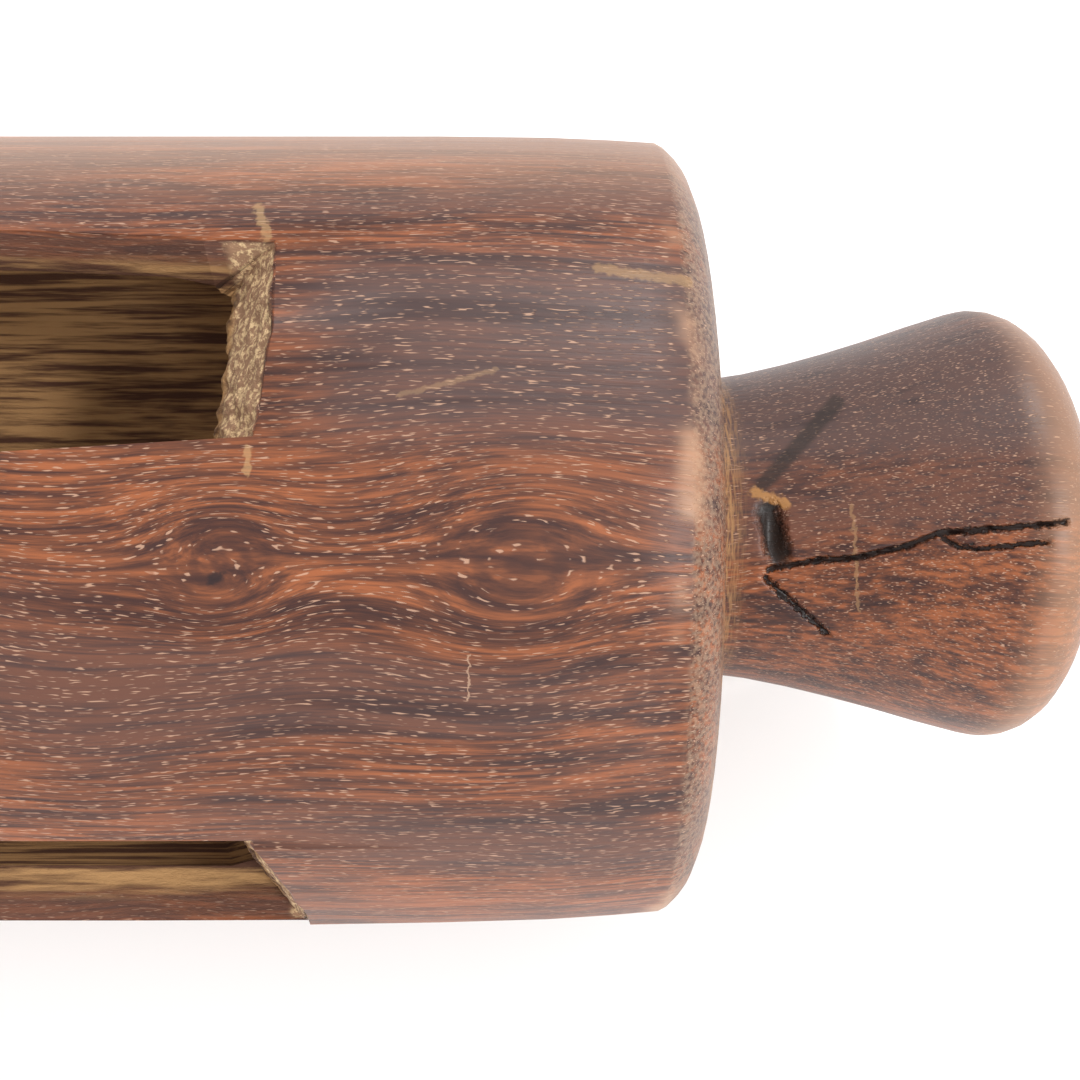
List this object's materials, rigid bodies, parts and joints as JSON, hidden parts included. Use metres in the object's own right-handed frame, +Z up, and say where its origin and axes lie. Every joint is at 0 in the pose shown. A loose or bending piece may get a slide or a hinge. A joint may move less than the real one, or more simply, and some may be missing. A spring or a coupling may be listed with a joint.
{
  "type": "slit drum",
  "caption": "Slit drum carved from one log: a hollow round body with long slots along its sides and a flared, domed knob on a narrow neck at each end.",
  "frame": {"origin": "centre of the small flat underside that the drum rests on, midway between its two ends", "axes": "+X along the drum towards the knob seen in the picture, +Z up through the middle slot, -Y towards the side of the front slot"},
  "size_m": [0.5572, 0.15, 0.1491],
  "materials": {
    "drum_wood": "dark red-brown rosewood, hand rubbed, satin; pale raw wood where it is chipped and inside the hollow"
  },
  "bodies": {
    "root": {"slit_drum": "drum_wood"}
  },
  "joints": []
}
